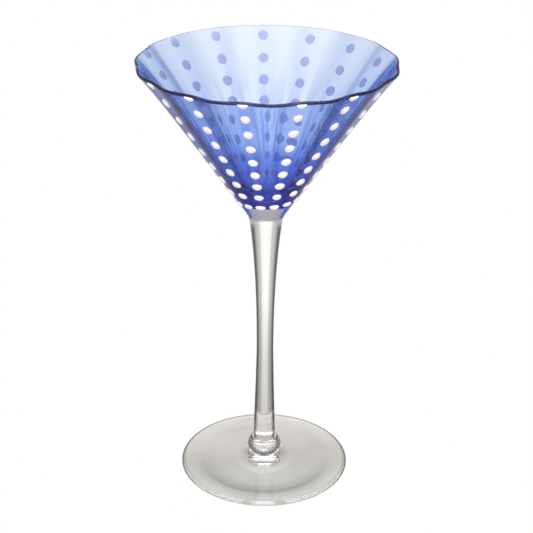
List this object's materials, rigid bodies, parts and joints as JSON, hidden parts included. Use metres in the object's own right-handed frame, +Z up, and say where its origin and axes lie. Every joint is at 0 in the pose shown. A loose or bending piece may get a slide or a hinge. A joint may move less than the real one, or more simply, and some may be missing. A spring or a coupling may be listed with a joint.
{
  "type": "martini glass",
  "caption": "Stemmed cocktail glass with a wide fluted blue conical bowl, raised white enamel dots in upright rows, a clear waisted stem, a button and a round foot",
  "frame": {"origin": "middle of the foot's underside, on the surface that the glass stands on", "axes": "+Z is up, along the glass's axis of symmetry; +X is to the right and +Y away from a viewer in front"},
  "size_m": [0.1151, 0.1151, 0.2035],
  "materials": {
    "blue_glass": "transparent blue blown glass, smooth and glossy, deeper in colour towards the bottom of the bowl",
    "clear_glass": "clear blown glass with a faint warm grey tone, smooth and glossy",
    "white_enamel": "opaque white enamel, fused on as slightly raised dots with a soft gloss"
  },
  "bodies": {
    "root": {"bowl": "blue_glass", "stem": "clear_glass", "button": "clear_glass", "foot": "clear_glass", "dot_row_01": "white_enamel", "dot_row_02": "white_enamel", "dot_row_03": "white_enamel", "dot_row_04": "white_enamel", "dot_row_05": "white_enamel", "dot_row_06": "white_enamel", "dot_row_07": "white_enamel", "dot_row_08": "white_enamel", "dot_row_09": "white_enamel", "dot_row_10": "white_enamel", "dot_row_11": "white_enamel", "dot_row_12": "white_enamel", "dot_row_13": "white_enamel", "dot_row_14": "white_enamel", "dot_row_15": "white_enamel"}
  },
  "joints": []
}
